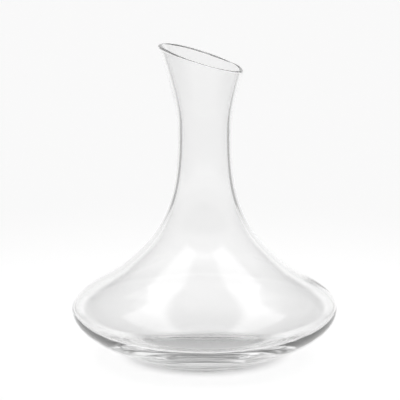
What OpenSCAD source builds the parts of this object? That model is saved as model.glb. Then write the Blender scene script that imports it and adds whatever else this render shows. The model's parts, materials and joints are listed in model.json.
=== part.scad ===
// Wine decanter: one vessel of clear blown glass, with a heavy foot, a low wide bowl,
// a slim neck and a flared mouth that is cut on a slant and fire-polished.
// Each module is one zone of the glass. Neighbouring zones meet face to face, because
// on the real vessel they are fused. The foot stands on z = 0, the neck runs along +Z,
// and the pouring tip of the mouth points to -X.

/* [Bowl] */
// Diameter at the widest point
bowl_d = 200; // [190:1:210]
// Height of the widest point above the table
belly_z = 37.5; // [36:0.5:40]
// Upward pull of the outline just above the widest point
belly_pull = 10.5; // [8:0.5:14]
// Thickness of the blown wall
wall = 3; // [2.4:0.1:3.4]

/* [Foot] */
// Radius of the outer edge of the ring that touches the table
foot_r = 49.5; // [46:0.5:52]
// Radius of the rounded heel outside that ring
heel_r = 4.8; // [3:0.1:6]
// Width of the flat ring that touches the table
foot_w = 9.5; // [7:0.5:12]
// Slope of the bowl's underside where it leaves the heel, in degrees
underside_slope = 24; // [21:0.5:27]
// Thickness of the glass at the heel
heel_t = 8; // [7:0.5:9]
// Height of the hollow under the base, at its centre
punt_h = 4; // [2:0.5:5]
// Height of the inside floor above the table, at its centre
floor_z = 9.5; // [9:0.1:10.5]
// Radius of the flat of the inside floor
floor_r = 38; // [35:0.5:40]

/* [Shoulder] */
// Radius of the outline where it turns from the bowl to the neck
shoulder_r = 63.5; // [62:0.5:66]
// Height of that point
shoulder_z = 67.5; // [65:0.5:70]
// Slope of the outline at that point, in degrees
shoulder_slope = 40; // [37:0.5:43]

/* [Neck] */
// Outer radius of the neck at its waist
neck_r = 20.1; // [18:0.1:22]
// Height of the middle of the straight waist
neck_z = 171; // [166:0.5:176]
// Length of the straight waist
neck_l = 8; // [4:0.5:12]

/* [Mouth] */
// Outer radius of the mouth at the height of its pouring tip
mouth_r = 34.9; // [32:0.1:37]
// Height of the pouring tip
tip_z = 238.4; // [234:0.2:242]
// Flare of the wall at the mouth, in degrees from upright
mouth_flare = 20; // [16:0.5:24]
// Slant of the cut across the mouth, in degrees
cut_slant = 17.8; // [12:0.2:20]
// Height of the rounding on the polished rim
lip_h = 0.9; // [0.6:0.1:1.2]
// How far the rim's outer edge falls below its inner edge, at the most
lip_drop = 2.7; // [1:0.1:3]

/* [Hidden] */

// Segments of a full turn, and points along each stretch of the outline
turn_fn = 96;
heel_steps = 6;
bend_steps = 12;
curve_steps = 20;
lip_steps = 10;

glass_tint = [0.80, 0.85, 0.86, 0.45];

bowl_r = bowl_d / 2;
neck_low_z = neck_z - neck_l / 2;
neck_top_z = neck_z + neck_l / 2;

// Directions of the outline, as [radius, height]
underside_dir = [cos(underside_slope), sin(underside_slope)];
shoulder_dir = [-cos(shoulder_slope), sin(shoulder_slope)];
mouth_dir = [sin(mouth_flare), cos(mouth_flare)];

// Joins between the stretches of the outline
heel_end = [foot_r, heel_r] + heel_r * [sin(underside_slope), -cos(underside_slope)];
belly = [bowl_r, belly_z];
shoulder_pt = [shoulder_r, shoulder_z];
neck_low = [neck_r, neck_low_z];
neck_top = [neck_r, neck_top_z];
// The mouth's wall runs on a little past the tip, and the slanted cut takes that away
mouth_over = 6;
mouth_end = [mouth_r, tip_z] + mouth_over * mouth_dir;

// Cubic curves of the outline, each as its four control points
lower_curve = [
    heel_end,
    heel_end + 0.29 * bowl_r * underside_dir,
    belly - [0, 0.16 * bowl_r],
    belly
];
upper_curve = [
    belly,
    belly + [0, belly_pull],
    shoulder_pt - 14.5 * shoulder_dir,
    shoulder_pt
];
shoulder_curve = [
    shoulder_pt,
    shoulder_pt + 34 * shoulder_dir,
    neck_low - [0, 58],
    neck_low
];
mouth_curve = [
    neck_top,
    neck_top + [0, 19],
    mouth_end - 16.5 * mouth_dir,
    mouth_end
];

function unit(v) = v / norm(v);
function reversed(list) = [for (i = [len(list) - 1 : -1 : 0]) list[i]];

// A point on a cubic curve, and the outward normal there, for t from 0 to 1
function curve_point(c, t) =
    pow(1 - t, 3) * c[0] + 3 * pow(1 - t, 2) * t * c[1]
    + 3 * (1 - t) * t * t * c[2] + pow(t, 3) * c[3];
function curve_slope(c, t) =
    pow(1 - t, 2) * (c[1] - c[0]) + 2 * (1 - t) * t * (c[2] - c[1]) + t * t * (c[3] - c[2]);
function outward(c, t) =
    let (d = unit(curve_slope(c, t))) [d[1], -d[0]];

// The outer side of a stretch, and its inner side where the glass thins from w0 to w1.
// A higher power thins it sooner.
thinning = 1.4;
function outer_side(c) = [for (i = [0 : curve_steps]) curve_point(c, i / curve_steps)];
function inner_side(c, w0, w1) = [
    for (i = [0 : curve_steps])
        let (t = i / curve_steps)
            curve_point(c, t) - (w1 + (w0 - w1) * pow(1 - t, thinning)) * outward(c, t)
];

// Rounded heel, from the table to the start of the underside
heel_outer = [
    for (i = [0 : heel_steps])
        let (a = -90 + underside_slope * i / heel_steps)
            [foot_r, heel_r] + heel_r * [cos(a), sin(a)]
];

// The hollow under the base, and the flat of the inside floor, are shallow arcs
foot_in_r = foot_r - foot_w;
floor_dome = 0.5;
function hollow_height(r) = punt_h * (1 - pow(r / foot_in_r, 2));
floor_arc = [
    for (i = [0 : 8])
        let (r = floor_r * i / 8)
            [r, floor_z - floor_dome * pow(r / floor_r, 2)]
];

// A soft bend joins the flat of the floor to the inside of the bowl, a little way up
bend_reach = 6;
lower_inner = inner_side(lower_curve, heel_t, wall);
bowl_inside = [for (p = lower_inner) if (norm(p - lower_inner[0]) > bend_reach) p];
floor_edge = floor_arc[8];
bend_span = 0.4 * norm(bowl_inside[0] - floor_edge);
bend_curve = [
    floor_edge,
    floor_edge + bend_span * unit(floor_edge - floor_arc[7]),
    bowl_inside[0] + bend_span * unit(bowl_inside[0] - bowl_inside[1]),
    bowl_inside[0]
];
bend = [for (i = [0 : bend_steps]) curve_point(bend_curve, i / bend_steps)];
function inside_height(r) = lookup(r, concat(floor_arc, bend));

// The foot ends on the line square to the underside at the end of the heel
function past_heel(p) = (p - heel_end) * underside_dir;
heel_inner = [
    lookup(0, [for (p = bend) [past_heel(p), p[0]]]),
    lookup(0, [for (p = bend) [past_heel(p), p[1]]])
];

// Radius of the mouth's outer and inner surfaces at a height
mouth_outer = outer_side(mouth_curve);
mouth_inner = inner_side(mouth_curve, wall, wall);
mouth_outer_table = [for (p = mouth_outer) [p[1], p[0]]];
mouth_inner_table = [for (p = mouth_inner) [p[1], p[0]]];

// The rim's inner edge lies in the plane z = rim_z - cut_rise * x, just under the tip.
// The mouth and the lip meet in a parallel plane, lip_zone lower.
cut_rise = tan(cut_slant);
rim_z = tip_z - 0.75 * lip_h - cut_rise * (mouth_r - wall);
lip_zone = lip_drop + 1;

// The outer edge is polished down round the back and the tip, for a direction a
function edge_drop(a) = lip_drop * min(1, max(0, sin(a) - 0.5 * cos(a)));

// Where the plane of the rim, lowered by a drop, meets a surface of the mouth in direction a;
// each pass comes closer. The result is [radius, height].
function cut_radius(table, drop, a, r, passes) =
    passes == 0 ? r : cut_radius(table, drop, a, lookup(rim_height(r, drop, a), table), passes - 1);
function rim_height(r, drop, a) = rim_z - drop - cut_rise * r * cos(a);
function cut_point(table, drop, a) =
    let (r = cut_radius(table, drop, a, neck_r, 12)) [r, rim_height(r, drop, a)];
function turned(p, a) = [p[0] * cos(a), p[0] * sin(a), p[1]];

// A zone of the wall, from its outer and inner sides
module turned_wall(outer, inner) {
    rotate_extrude($fn = turn_fn)
        polygon(concat(outer, reversed(inner)));
}

// Thick ring of glass that stands on the table
module foot_ring() {
    inside = [for (p = bend) if (p[0] > foot_in_r && past_heel(p) < 0) p];
    color(glass_tint)
        rotate_extrude($fn = turn_fn)
            polygon(concat(
                [[foot_in_r, 0]],
                heel_outer,
                [heel_inner],
                reversed(inside),
                [[foot_in_r, inside_height(foot_in_r)]]
            ));
}

// Base inside the ring, hollowed a little from below
module punt() {
    radii = [for (i = [0 : 8]) foot_in_r * i / 8];
    color(glass_tint)
        rotate_extrude($fn = turn_fn)
            polygon(concat(
                [for (r = radii) [r, hollow_height(r)]],
                [for (r = reversed(radii)) [r, inside_height(r)]]
            ));
}

// Underside of the bowl, thinning from the heel out to the widest point
module lower_bowl() {
    bend_end = [for (p = bend) if (past_heel(p) > 0 && p[0] < bowl_inside[0][0]) p];
    color(glass_tint)
        turned_wall(outer_side(lower_curve), concat([heel_inner], bend_end, bowl_inside));
}

// From the widest point up to the turn of the outline
module upper_bowl() {
    color(glass_tint)
        turned_wall(outer_side(upper_curve), inner_side(upper_curve, wall, wall));
}

// Long hollow sweep from the bowl into the neck
module shoulder() {
    color(glass_tint)
        turned_wall(outer_side(shoulder_curve), inner_side(shoulder_curve, wall, wall));
}

// Straight waist of the neck, with a true bore
module neck() {
    color(glass_tint)
        difference() {
            translate([0, 0, neck_low_z])
                cylinder(r = neck_r, h = neck_l, $fn = turn_fn);
            translate([0, 0, neck_low_z - 1])
                cylinder(r = neck_r - wall, h = neck_l + 2, $fn = turn_fn);
        }
}

// Flared mouth, cut on a slant
module mouth() {
    waste = 4 * mouth_r;
    color(glass_tint)
        difference() {
            turned_wall(mouth_outer, mouth_inner);
            translate([0, 0, rim_z - lip_zone])
                rotate([0, cut_slant, 0])
                    translate([-waste / 2, -waste / 2, 0])
                        cube(waste);
        }
}

// Fire-polished lip: the top of the wall, rounded over along the slanted cut
module lip() {
    // Each cross-section goes up the outer side, over the rounding and down the inner side
    pull = lip_h / 0.75;
    sides = lip_steps + 3;
    points = [
        for (i = [0 : turn_fn - 1])
            let (
                a = 360 * i / turn_fn,
                outer_low = cut_point(mouth_outer_table, lip_zone, a),
                inner_low = cut_point(mouth_inner_table, lip_zone, a),
                outer_edge = cut_point(mouth_outer_table, edge_drop(a), a),
                inner_edge = cut_point(mouth_inner_table, 0, a),
                rounding = [
                    outer_edge,
                    outer_edge + pull * unit(outer_edge - outer_low),
                    inner_edge + pull * unit(inner_edge - inner_low),
                    inner_edge
                ],
                section = concat(
                    [outer_low],
                    [for (j = [0 : lip_steps]) curve_point(rounding, j / lip_steps)],
                    [inner_low]
                )
            )
            for (p = section)
                turned(p, a)
    ];
    faces = [
        for (i = [0 : turn_fn - 1])
            for (j = [0 : sides - 1])
                let (
                    next_i = (i + 1) % turn_fn,
                    next_j = (j + 1) % sides
                )
                [i * sides + j, i * sides + next_j, next_i * sides + next_j, next_i * sides + j]
    ];
    color(glass_tint)
        polyhedron(points = points, faces = faces, convexity = 4);
}

foot_ring();
punt();
lower_bowl();
upper_bowl();
shoulder();
neck();
mouth();
lip();
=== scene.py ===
"""Looks of the wine decanter: one continuous blown-glass vessel over the CAD zones, in a pale studio."""
import json
import math

import bpy
import numpy as np
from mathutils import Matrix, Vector


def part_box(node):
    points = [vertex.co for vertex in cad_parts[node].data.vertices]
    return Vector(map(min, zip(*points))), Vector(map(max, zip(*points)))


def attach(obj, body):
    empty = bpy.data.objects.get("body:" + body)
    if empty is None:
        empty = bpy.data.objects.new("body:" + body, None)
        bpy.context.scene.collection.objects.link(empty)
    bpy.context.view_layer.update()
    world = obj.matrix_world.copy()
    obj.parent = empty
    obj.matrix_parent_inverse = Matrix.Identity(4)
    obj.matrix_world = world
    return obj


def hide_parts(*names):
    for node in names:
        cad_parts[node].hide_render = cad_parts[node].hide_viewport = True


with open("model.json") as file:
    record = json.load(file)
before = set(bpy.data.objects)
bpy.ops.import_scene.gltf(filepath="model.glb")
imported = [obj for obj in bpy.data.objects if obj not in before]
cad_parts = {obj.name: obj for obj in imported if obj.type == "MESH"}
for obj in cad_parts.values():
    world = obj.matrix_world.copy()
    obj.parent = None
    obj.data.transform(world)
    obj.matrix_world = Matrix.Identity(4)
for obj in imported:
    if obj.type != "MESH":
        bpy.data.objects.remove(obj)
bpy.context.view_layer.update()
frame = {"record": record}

record = frame["record"]
MM = 0.001

# ---------------------------------------------------------------- sizes from the frame
ZONES = ("foot_ring", "punt", "lower_bowl", "upper_bowl", "shoulder", "neck", "mouth", "lip")
bore = next(mount for mount in record["mounts"] if mount["name"] == "neck_bore")

BOWL_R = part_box("upper_bowl")[1].x
BELLY_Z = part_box("upper_bowl")[0].z
SHOULDER_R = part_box("shoulder")[1].x
SHOULDER_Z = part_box("upper_bowl")[1].z
NECK_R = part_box("neck")[1].x
NECK_LOW_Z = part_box("neck")[0].z
NECK_TOP_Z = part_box("neck")[1].z
HEEL_OUT_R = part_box("foot_ring")[1].x
FOOT_IN_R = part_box("punt")[1].x
FLOOR_TOP_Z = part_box("punt")[1].z
TIP_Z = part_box("lip")[1].z
WALL = NECK_R - bore["dims"]["r_mm"] * MM

# ---------------------------------------------------------------- shape of the blown outline
# Rounding of the heel under the bowl
HEEL_R = 4.8 * MM
# Glass at the heel; it thins to WALL at the widest point, quickly at first
HEEL_T = 8 * MM
HEEL_FADE = 1.4
# Hollow under the base; the ring's inner edge is melted round, and its flat starts just after
PUNT_H = 4 * MM
EDGE_REACH = 2 * MM
FLAT_START = 2.6 * MM
# Inside floor: its radius, its gentle dome, and the soft bend from it to the bowl's inside
FLOOR_R = 38 * MM
FLOOR_DOME = 0.5 * MM
BEND_REACH = 6 * MM
BEND_PULL = 0.4
# Slopes of the outline at the heel, at the shoulder and at the mouth
UNDERSIDE_SLOPE = math.radians(24)
SHOULDER_SLOPE = math.radians(40)
MOUTH_FLARE = math.radians(20)
# Pulls of the four curves of the outline, from the heel up; the first two are shares of BOWL_R
HEEL_PULL = 0.29
BELLY_PULL_LOW = 0.16
BELLY_PULL_UP = 10.5 * MM
TURN_PULL = 14.5 * MM
SHOULDER_PULL = 34 * MM
NECK_PULL_LOW = 58 * MM
NECK_PULL_UP = 19 * MM
MOUTH_PULL = 16.5 * MM
# Mouth: radius at the tip, length of its curve above the tip, slant of the cut
MOUTH_R = 34.9 * MM
MOUTH_OVER = 6 * MM
CUT_SLANT = math.radians(17.8)
# Lip: its height over the cut, and how far the outer edge is polished down at the back
LIP_H = 0.9 * MM
LIP_DROP = 2.7 * MM
# The top of a curve whose two pulls point the same way lies at this share of the pulls' length
ARCH = 0.75
# The rim stays this far under the top of the CAD's lip
INSIDE = 0.03 * MM

# ---------------------------------------------------------------- unevenness of the inside
UNEVEN = 0.25 * MM
# Each swell: its share, lobes round the axis, phase, and run along the wall for one radian
SWELLS = (
    (0.45, 2, 1.3, 31 * MM),
    (0.3, 3, -0.7, -24 * MM),
    (0.25, 5, 2.1, 43 * MM),
)
# The swells fade out towards the middle of the floor and towards the neck over these lengths
FADE_FLOOR = 30 * MM
FADE_NECK = 40 * MM

# ---------------------------------------------------------------- fineness of the mesh
TURN_STEPS = 192
CURVE_STEPS = 44
MOUTH_STEPS = 46
MOUTH_SAMPLES = 120
LIP_STEPS = 16
HOLLOW_STEPS = 22
FLAT_STEPS = 5
HEEL_STEPS = 8
FLOOR_STEPS = 26
BEND_STEPS = 20
NECK_STEPS = 5
CUT_ROUNDS = 20

# ---------------------------------------------------------------- surface of the glass
IOR = 1.52
# What is left of white light after a metre of this glass is set by its grey and its density
GLASS_GREY = 0.8
GLASS_DENSITY = 1
WAVE_SIZE = 45 * MM
WAVE_DEPTH = 0.2 * MM
WAVE_DETAIL = 1.5
# The rings run round the axis, so their noise is drawn out sideways
RING_SIZE = 9 * MM
RING_DEPTH = 0.006 * MM
RING_DETAIL = 2
RING_STRETCH = (0.12, 0.12, 1)
# Roughness runs from POLISH to HAZE as the haze noise rises from HAZE_FROM to HAZE_TO
POLISH = 0.004
HAZE = 0.03
HAZE_FROM = 0.4
HAZE_TO = 0.75
HAZE_SIZE = 30 * MM
HAZE_DETAIL = 6
HAZE_STRETCH = (1, 1, 0.7)

# ---------------------------------------------------------------- light of the room
# WALL_FROM and the tops are parts of a direction's unit length, backwards and upwards
ROOM_LIGHT = 0.12
# Pale band round the foot of the walls
LOW_LIGHT = 0.42
LOW_TOP = 0.12
LOW_FADE = 0.08
# Bright wall behind
WALL_LIGHT = 0.87
WALL_FROM = 0.65
WALL_TOP = 0.3
WALL_SIDE_FADE = 0.12
WALL_TOP_FADE = 0.05
# Two soft boxes on the ceiling, left and right; limits are distances on a ceiling one metre up
BOX_LIGHT = 1.1
BOX_NEAR = 0.28
BOX_FAR = 0.72
BOX_FRONT = -0.5
BOX_BACK = 0.5
BOX_FADE = 0.06
# A dimmer bar joins the boxes at the front
BAR_BACK = -0.38
BAR_LIGHT = 0.5
# Directions lower than this are taken as this high when they are carried up to the ceiling
LOWEST_UP = 0.05
# A limit that nothing reaches
NO_EDGE = 99

# ---------------------------------------------------------------- floor and glowing sheet of painted light, in metres
FLOOR_HALF = 12
FLOOR_GAP = 0.2 * MM
FLOOR_WHITE = 0.8
FLOOR_ROUGHNESS = 0.9
TABLE_GLOW = 0.18
# Painted light: the sheet glows above the table in place of light falling on it from above; it is a strip
# that widens by SHEET_SPREAD towards the back
SHEET_GLOW = 0.51
SHEET_HALF = 0.22
SHEET_SPREAD = 0.35
SHEET_FRONT = 0.3
SHEET_FADE = 0.1
# Painted light: extra glow in a soft disc round the vessel
PAINTED_POOL = 0.12
PAINTED_POOL_R = 0.3
PAINTED_POOL_FADE = 0.25
# Painted contact shadow: the sheet's glow is lowered right under the foot
PAINTED_SHADOW = 0.42
PAINTED_SHADOW_R = 0.056
PAINTED_SHADOW_FADE = 0.012

# ---------------------------------------------------------------- camera
CAMERA_DISTANCE = 2.44
CAMERA_UP = math.radians(12.67)
CAMERA_CENTRE = (0, 0, 118 * MM)
CAMERA_AIM = (-3.45 * MM, 0, 119.85 * MM)
CAMERA_LENS = 292.5
CAMERA_SENSOR = 36
# Light passes many glass walls before it leaves the vessel
BOUNCES = 256


def vec(r, z):
    """A point of the outline: radius and height."""
    return np.array([r, z], float)


def cubic(c, t):
    """Points on a cubic curve of four control points, for an array t from 0 to 1."""
    t = np.asarray(t, float)[:, None]
    return (1 - t) ** 3 * c[0] + 3 * (1 - t) ** 2 * t * c[1] + 3 * (1 - t) * t * t * c[2] + t ** 3 * c[3]


def cubic_normals(c, t):
    """Outward unit normals of the same curve."""
    t = np.asarray(t, float)[:, None]
    d = (1 - t) ** 2 * (c[1] - c[0]) + 2 * (1 - t) * t * (c[2] - c[1]) + t * t * (c[3] - c[2])
    d /= np.linalg.norm(d, axis=1, keepdims=True)
    return np.stack([d[:, 1], -d[:, 0]], axis=1)


foot_r = HEEL_OUT_R - HEEL_R * math.sin(UNDERSIDE_SLOPE)
heel_end = vec(HEEL_OUT_R, HEEL_R - HEEL_R * math.cos(UNDERSIDE_SLOPE))
belly = vec(BOWL_R, BELLY_Z)
shoulder_pt = vec(SHOULDER_R, SHOULDER_Z)
neck_low = vec(NECK_R, NECK_LOW_Z)
neck_top = vec(NECK_R, NECK_TOP_Z)
underside_dir = vec(math.cos(UNDERSIDE_SLOPE), math.sin(UNDERSIDE_SLOPE))
shoulder_dir = vec(-math.cos(SHOULDER_SLOPE), math.sin(SHOULDER_SLOPE))
mouth_dir = vec(math.sin(MOUTH_FLARE), math.cos(MOUTH_FLARE))
mouth_end = vec(MOUTH_R, TIP_Z) + MOUTH_OVER * mouth_dir

lower_curve = [
    heel_end,
    heel_end + HEEL_PULL * BOWL_R * underside_dir,
    belly - vec(0, BELLY_PULL_LOW * BOWL_R),
    belly,
]
upper_curve = [
    belly,
    belly + vec(0, BELLY_PULL_UP),
    shoulder_pt - TURN_PULL * shoulder_dir,
    shoulder_pt,
]
shoulder_curve = [
    shoulder_pt,
    shoulder_pt + SHOULDER_PULL * shoulder_dir,
    neck_low - vec(0, NECK_PULL_LOW),
    neck_low,
]
mouth_curve = [
    neck_top,
    neck_top + vec(0, NECK_PULL_UP),
    mouth_end - MOUTH_PULL * mouth_dir,
    mouth_end,
]

# The slanted cut: its fall over one metre towards +x, and its height on the axis
cut_rise = math.tan(CUT_SLANT)
rim_z = TIP_Z - INSIDE - ARCH * LIP_H - cut_rise * (MOUTH_R - WALL)


def wall_sides():
    """Outer and inner outlines of the wall, from the heel to the bottom of the neck."""
    t = np.linspace(0, 1, CURVE_STEPS)
    outer, inner = [], []
    for curve, thick_start in ((lower_curve, HEEL_T), (upper_curve, WALL), (shoulder_curve, WALL)):
        points = cubic(curve, t)
        thick = WALL + (thick_start - WALL) * (1 - t) ** HEEL_FADE
        outer.append(points[1:])
        inner.append((points - thick[:, None] * cubic_normals(curve, t))[1:])
    first_inner = heel_end - HEEL_T * vec(math.sin(UNDERSIDE_SLOPE), -math.cos(UNDERSIDE_SLOPE))
    return np.vstack(outer), np.vstack([first_inner[None]] + inner)


def rounded_corner(a, corner, b, reach, steps=8):
    """A corner of the outline, melted round over a reach to each side."""
    u = (a - corner) / np.linalg.norm(a - corner)
    v = (b - corner) / np.linalg.norm(b - corner)
    t = np.linspace(0, 1, steps)[:, None]
    p, q = corner + reach * u, corner + reach * v
    return (1 - t) ** 2 * p + 2 * (1 - t) * t * corner + t * t * q


def base_outer():
    """From the middle of the hollow underneath, over the ring that stands on the table, to the heel."""
    r = np.linspace(0, FOOT_IN_R - EDGE_REACH, HOLLOW_STEPS)
    hollow = np.stack([r, PUNT_H * (1 - (r / FOOT_IN_R) ** 2)], axis=1)
    edge = rounded_corner(hollow[-1], vec(FOOT_IN_R, 0), vec(foot_r, 0), EDGE_REACH)
    r = np.linspace(FOOT_IN_R + FLAT_START, foot_r, FLAT_STEPS)
    flat = np.stack([r, np.zeros(FLAT_STEPS)], axis=1)
    a = np.linspace(-math.pi / 2, -math.pi / 2 + UNDERSIDE_SLOPE, HEEL_STEPS)
    heel = np.stack([foot_r + HEEL_R * np.cos(a), HEEL_R + HEEL_R * np.sin(a)], axis=1)
    return np.vstack([hollow, edge, flat, heel[1:]])


def base_inner(wall_inner):
    """From the middle of the inside floor, round the inside of the heel, to the bowl's wall."""
    corner = wall_inner[0]
    far = np.linalg.norm(wall_inner - corner, axis=1) > BEND_REACH
    wall = wall_inner[far]
    r = np.linspace(0, FLOOR_R, FLOOR_STEPS)
    floor = np.stack([r, FLOOR_TOP_Z - FLOOR_DOME * (r / FLOOR_R) ** 2], axis=1)
    p, q = floor[-1], wall[0]
    u = (floor[-1] - floor[-2]) / np.linalg.norm(floor[-1] - floor[-2])
    v = (wall[0] - wall[1]) / np.linalg.norm(wall[0] - wall[1])
    span = BEND_PULL * np.linalg.norm(q - p)
    bend = cubic([p, p + span * u, q + span * v, q], np.linspace(0, 1, BEND_STEPS))
    return np.vstack([floor, bend[1:-1], wall])


def uneven(profile, angle, amount):
    """Blown glass is never quite even: rings of an inside profile, gently swollen by up to an amount."""
    d = np.gradient(profile, axis=0)
    d /= np.linalg.norm(d, axis=1, keepdims=True)
    run = np.concatenate([[0], np.cumsum(np.linalg.norm(np.diff(profile, axis=0), axis=1))])[:, None]
    wave = 0
    for share, lobes, phase, length in SWELLS:
        wave = wave + share * np.sin(lobes * angle + phase + run / length)
    past_middle = np.clip(profile[:, :1] / FADE_FLOOR, 0, 1) ** 2
    below_neck = np.clip((profile[-1, 1] - profile[:, 1:]) / FADE_NECK, 0, 1)
    push = amount * wave * (past_middle * below_neck)
    return profile[:, :1] - d[:, 1:] * push, profile[:, 1:] + d[:, :1] * push


def vessel_rings():
    """All rings of the vessel, from the middle underneath, over the lip, to the middle of the inside floor.
    Returns an array of rings by turn steps by (x, y, z), and the heights of the two middles."""
    angle = np.linspace(0, 2 * math.pi, TURN_STEPS, endpoint=False)
    cos_a, sin_a = np.cos(angle), np.sin(angle)
    wall_outer, wall_inner = wall_sides()
    outer = np.vstack([base_outer(), wall_outer])
    inner = base_inner(wall_inner)

    t = np.linspace(0, 1, MOUTH_SAMPLES)
    mouth_out = cubic(mouth_curve, t)
    mouth_in = mouth_out - WALL * cubic_normals(mouth_curve, t)

    def cut_at(side, drop):
        """Radius and height where the slanted cut crosses a side of the mouth, at every angle.
        Height and radius are found in turn, each from the other."""
        r = np.full(TURN_STEPS, NECK_R)
        for _ in range(CUT_ROUNDS):
            z = rim_z - drop - cut_rise * r * cos_a
            r = np.interp(z, side[:, 1], side[:, 0])
        return r, z

    def flare(side, drop):
        """Rings from the top of the neck to the cut."""
        _, z_end = cut_at(side, drop)
        u = np.linspace(0, 1, MOUTH_STEPS + 1)[1:, None]
        z = NECK_TOP_Z + u * (z_end[None] - NECK_TOP_Z)
        r = np.interp(z, side[:, 1], side[:, 0])
        return r, z

    # The outer edge is polished lower round the back and the tip, and stays whole in front
    outer_r, outer_z = flare(mouth_out, LIP_DROP * np.clip(sin_a - 0.5 * cos_a, 0, 1))
    inner_r, inner_z = flare(mouth_in, 0)
    # At every angle the lip is a curve that carries both sides of the wall on and joins them
    p0 = np.stack([outer_r[-1], outer_z[-1]])
    p3 = np.stack([inner_r[-1], inner_z[-1]])
    d0 = p0 - np.stack([outer_r[-2], outer_z[-2]])
    d3 = p3 - np.stack([inner_r[-2], inner_z[-2]])
    pull = LIP_H / ARCH
    p1 = p0 + pull * d0 / np.linalg.norm(d0, axis=0)
    p2 = p3 + pull * d3 / np.linalg.norm(d3, axis=0)
    lip = []
    for s in np.linspace(0, 1, LIP_STEPS)[1:-1]:
        lip.append((1 - s) ** 3 * p0 + 3 * (1 - s) ** 2 * s * p1 + 3 * (1 - s) * s * s * p2 + s ** 3 * p3)

    neck_z = np.linspace(NECK_LOW_Z, NECK_TOP_Z, NECK_STEPS)[1:]
    rings = []

    def turned(profile):
        """Level rings, one for each point of an outline."""
        for r, z in profile:
            rings.append(np.stack([r * cos_a, r * sin_a, np.full(TURN_STEPS, z)], axis=1))

    def slanted(radii, heights):
        """Rings whose radius and height change round the axis."""
        for r, z in zip(radii, heights):
            rings.append(np.stack([r * cos_a, r * sin_a, z], axis=1))

    turned(outer[1:])
    turned([(NECK_R, z) for z in neck_z])
    slanted(outer_r, outer_z)
    slanted([q[0] for q in lip], [q[1] for q in lip])
    slanted(inner_r[::-1], inner_z[::-1])
    turned([(NECK_R - WALL, z) for z in neck_z[::-1]])
    swollen_r, swollen_z = uneven(inner, angle, UNEVEN)
    slanted(swollen_r[::-1][:-1], swollen_z[::-1][:-1])
    return np.array(rings), outer[0][1], inner[0][1]


def closed_mesh(name, rings, low_pole, high_pole):
    """One closed mesh from the rings, closed by a fan of triangles at each middle."""
    count, turn = rings.shape[:2]
    verts = rings.reshape(-1, 3).tolist() + [[0, 0, low_pole], [0, 0, high_pole]]
    low, high = count * turn, count * turn + 1
    faces = []
    for i in range(count - 1):
        for j in range(turn):
            k = (j + 1) % turn
            faces.append((i * turn + j, i * turn + k, (i + 1) * turn + k, (i + 1) * turn + j))
    last = (count - 1) * turn
    for j in range(turn):
        k = (j + 1) % turn
        faces.append((low, k, j))
        faces.append((high, last + j, last + k))
    mesh = bpy.data.meshes.new(name)
    mesh.from_pydata(verts, [], faces)
    mesh.validate()
    mesh.shade_smooth()
    obj = bpy.data.objects.new(name, mesh)
    bpy.context.scene.collection.objects.link(obj)
    return obj


def stretched_noise(tree, coord, stretch, scale, detail):
    """Noise on the object's own metres, with each axis stretched; scale is in cells per metre."""
    mapping = tree.nodes.new("ShaderNodeMapping")
    mapping.inputs["Scale"].default_value = stretch
    tree.links.new(coord.outputs["Object"], mapping.inputs["Vector"])
    noise = tree.nodes.new("ShaderNodeTexNoise")
    noise.inputs["Scale"].default_value = scale
    noise.inputs["Detail"].default_value = detail
    tree.links.new(mapping.outputs["Vector"], noise.inputs["Vector"])
    return noise.outputs[0]


def bump(tree, height, depth, under=None):
    """A relief of a real depth, laid over another relief if one is given."""
    node = tree.nodes.new("ShaderNodeBump")
    node.inputs["Strength"].default_value = 1
    node.inputs["Distance"].default_value = depth
    tree.links.new(height, node.inputs["Height"])
    if under is not None:
        tree.links.new(under, node.inputs["Normal"])
    return node.outputs["Normal"]


def glass_material():
    """Clear blown glass. Slow waves and faint turning rings are left from the blowing,
    and handling leaves soft patches a little less sharp than the rest."""
    material = bpy.data.materials.new("clear_blown_glass")
    material.use_nodes = True
    tree = material.node_tree
    shader = tree.nodes["Principled BSDF"]
    shader.inputs["Base Color"].default_value = (1, 1, 1, 1)
    shader.inputs["Transmission Weight"].default_value = 1
    shader.inputs["IOR"].default_value = IOR
    coord = tree.nodes.new("ShaderNodeTexCoord")

    waves = stretched_noise(tree, coord, (1, 1, 1), 1 / WAVE_SIZE, WAVE_DETAIL)
    rings = stretched_noise(tree, coord, RING_STRETCH, 1 / RING_SIZE, RING_DETAIL)
    normal = bump(tree, waves, WAVE_DEPTH)
    normal = bump(tree, rings, RING_DEPTH, normal)
    tree.links.new(normal, shader.inputs["Normal"])

    haze = tree.nodes.new("ShaderNodeMapRange")
    haze.inputs["From Min"].default_value = HAZE_FROM
    haze.inputs["From Max"].default_value = HAZE_TO
    haze.inputs["To Min"].default_value = POLISH
    haze.inputs["To Max"].default_value = HAZE
    patches = stretched_noise(tree, coord, HAZE_STRETCH, 1 / HAZE_SIZE, HAZE_DETAIL)
    tree.links.new(patches, haze.inputs["Value"])
    tree.links.new(haze.outputs[0], shader.inputs["Roughness"])

    absorb = tree.nodes.new("ShaderNodeVolumeAbsorption")
    absorb.inputs["Color"].default_value = (GLASS_GREY, GLASS_GREY, GLASS_GREY, 1)
    absorb.inputs["Density"].default_value = GLASS_DENSITY
    tree.links.new(absorb.outputs["Volume"], tree.nodes["Material Output"].inputs["Volume"])
    return material


def window(tree, value, low, high, soft):
    """A smooth window: 1 where a value lies between low and high, fading to 0 over a soft edge."""
    rise = tree.nodes.new("ShaderNodeMapRange")
    fall = tree.nodes.new("ShaderNodeMapRange")
    for node, edge, ends in ((rise, low, (0, 1)), (fall, high, (1, 0))):
        node.interpolation_type = "SMOOTHSTEP"
        node.inputs["From Min"].default_value = edge - soft
        node.inputs["From Max"].default_value = edge + soft
        node.inputs["To Min"].default_value = ends[0]
        node.inputs["To Max"].default_value = ends[1]
        tree.links.new(value, node.inputs["Value"])
    return maths(tree, "MULTIPLY", rise.outputs[0], fall.outputs[0])


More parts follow.
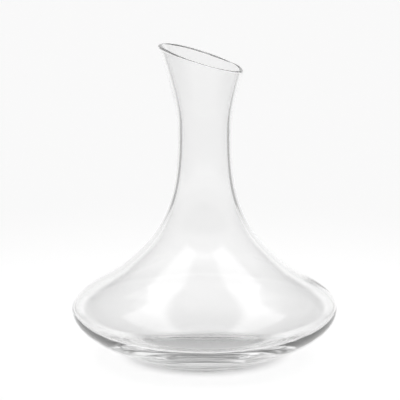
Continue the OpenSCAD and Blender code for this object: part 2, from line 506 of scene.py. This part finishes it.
def maths(tree, operation, a, b):
    """One maths node; a and b are sockets or plain numbers."""
    node = tree.nodes.new("ShaderNodeMath")
    node.operation = operation
    for socket, v in zip(node.inputs, (a, b)):
        if isinstance(v, (int, float)):
            socket.default_value = v
        else:
            tree.links.new(v, socket)
    return node.outputs[0]


def build_world():
    """A dim room: a pale band low down, a bright wall behind, and two soft boxes overhead, left and right,
    joined at the front by a dimmer bar."""
    world = bpy.data.worlds.new("studio")
    bpy.context.scene.world = world
    world.use_nodes = True
    tree = world.node_tree
    bg = tree.nodes["Background"]
    coord = tree.nodes.new("ShaderNodeTexCoord")
    split = tree.nodes.new("ShaderNodeSeparateXYZ")
    tree.links.new(coord.outputs["Generated"], split.inputs[0])
    x, y, z = split.outputs
    low = maths(tree, "MULTIPLY", window(tree, z, -NO_EDGE, LOW_TOP, LOW_FADE), LOW_LIGHT)
    behind = window(tree, y, WALL_FROM, NO_EDGE, WALL_SIDE_FADE)
    wall = maths(tree, "MULTIPLY", behind, window(tree, z, -NO_EDGE, WALL_TOP, WALL_TOP_FADE))
    wall = maths(tree, "MULTIPLY", wall, WALL_LIGHT)
    up = maths(tree, "MAXIMUM", z, LOWEST_UP)
    across = maths(tree, "DIVIDE", maths(tree, "ABSOLUTE", x, 0), up)
    along = maths(tree, "DIVIDE", y, up)
    boxes = maths(
        tree, "MULTIPLY",
        window(tree, across, BOX_NEAR, BOX_FAR, BOX_FADE),
        window(tree, along, BOX_FRONT, BOX_BACK, BOX_FADE),
    )
    bar = maths(
        tree, "MULTIPLY",
        window(tree, across, -NO_EDGE, BOX_NEAR, BOX_FADE),
        window(tree, along, BOX_FRONT, BAR_BACK, BOX_FADE),
    )
    boxes = maths(tree, "ADD", boxes, maths(tree, "MULTIPLY", bar, BAR_LIGHT))
    light = maths(tree, "MAXIMUM", maths(tree, "MAXIMUM", low, wall), ROOM_LIGHT)
    light = maths(tree, "ADD", light, maths(tree, "MULTIPLY", boxes, BOX_LIGHT))
    bg.inputs["Color"].default_value = (1, 1, 1, 1)
    tree.links.new(light, bg.inputs["Strength"])


def build_floor():
    """A pale table. Painted light: a white sheet glows on it under the vessel and widens towards the back,
    extra glow lies round the vessel, and a painted contact shadow lowers the glow right under the foot."""
    mesh = bpy.data.meshes.new("studio_floor")
    turns = ((-1, -1), (1, -1), (1, 1), (-1, 1))
    corners = [(FLOOR_HALF * u, FLOOR_HALF * v, -FLOOR_GAP) for u, v in turns]
    mesh.from_pydata(corners, [], [(0, 1, 2, 3)])
    obj = bpy.data.objects.new("studio_floor", mesh)
    bpy.context.scene.collection.objects.link(obj)
    material = bpy.data.materials.new("pale_floor")
    material.use_nodes = True
    tree = material.node_tree
    shader = tree.nodes["Principled BSDF"]
    shader.inputs["Base Color"].default_value = (FLOOR_WHITE, FLOOR_WHITE, FLOOR_WHITE, 1)
    shader.inputs["Roughness"].default_value = FLOOR_ROUGHNESS
    shader.inputs["Specular IOR Level"].default_value = 0
    coord = tree.nodes.new("ShaderNodeTexCoord")
    split = tree.nodes.new("ShaderNodeSeparateXYZ")
    tree.links.new(coord.outputs["Object"], split.inputs[0])
    x, y, _ = split.outputs
    # Painted light: the glowing sheet, a strip of extra glow standing in for light falling on the table
    widening = maths(tree, "MULTIPLY", maths(tree, "MAXIMUM", y, 0), SHEET_SPREAD)
    side = maths(tree, "SUBTRACT", maths(tree, "ABSOLUTE", x, 0), widening)
    sheet = maths(
        tree, "MULTIPLY",
        window(tree, side, -NO_EDGE, SHEET_HALF, SHEET_FADE),
        window(tree, y, -SHEET_FRONT, NO_EDGE, SHEET_FADE),
    )
    squares = maths(tree, "ADD", maths(tree, "MULTIPLY", x, x), maths(tree, "MULTIPLY", y, y))
    reach = maths(tree, "SQRT", squares, 0)
    # Painted contact shadow: the glow is lowered in a disc right under the foot
    painted_shadow = maths(tree, "MULTIPLY", window(tree, reach, -NO_EDGE, PAINTED_SHADOW_R, PAINTED_SHADOW_FADE), PAINTED_SHADOW)
    glow = maths(tree, "ADD", TABLE_GLOW, maths(tree, "MULTIPLY", sheet, SHEET_GLOW))
    glow = maths(tree, "SUBTRACT", glow, painted_shadow)
    # Painted light: extra glow in a soft disc round the vessel
    painted_pool = maths(tree, "MULTIPLY", window(tree, reach, -NO_EDGE, PAINTED_POOL_R, PAINTED_POOL_FADE), PAINTED_POOL)
    glow = maths(tree, "ADD", glow, painted_pool)
    shader.inputs["Emission Color"].default_value = (1, 1, 1, 1)
    tree.links.new(glow, shader.inputs["Emission Strength"])
    mesh.materials.append(material)


def build_camera():
    """A long lens in front of the vessel and a little above it."""
    back = Vector((0, -math.cos(CAMERA_UP), math.sin(CAMERA_UP)))
    place = Vector(CAMERA_CENTRE) + CAMERA_DISTANCE * back
    aim = Vector(CAMERA_AIM)
    data = bpy.data.cameras.new("camera")
    data.sensor_width = CAMERA_SENSOR
    data.lens = CAMERA_LENS
    cam = bpy.data.objects.new("camera", data)
    cam.location = place
    cam.rotation_euler = (aim - place).to_track_quat("-Z", "Y").to_euler()
    bpy.context.scene.collection.objects.link(cam)
    bpy.context.scene.camera = cam


rings, low_pole, high_pole = vessel_rings()
vessel = closed_mesh("glass_vessel", rings, low_pole, high_pole)
vessel.data.materials.append(glass_material())
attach(vessel, "root")
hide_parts(*ZONES)

build_world()
build_floor()
build_camera()

scene = bpy.context.scene
scene.view_settings.view_transform = "Standard"
scene.cycles.max_bounces = BOUNCES
scene.cycles.transmission_bounces = BOUNCES
scene.cycles.glossy_bounces = BOUNCES
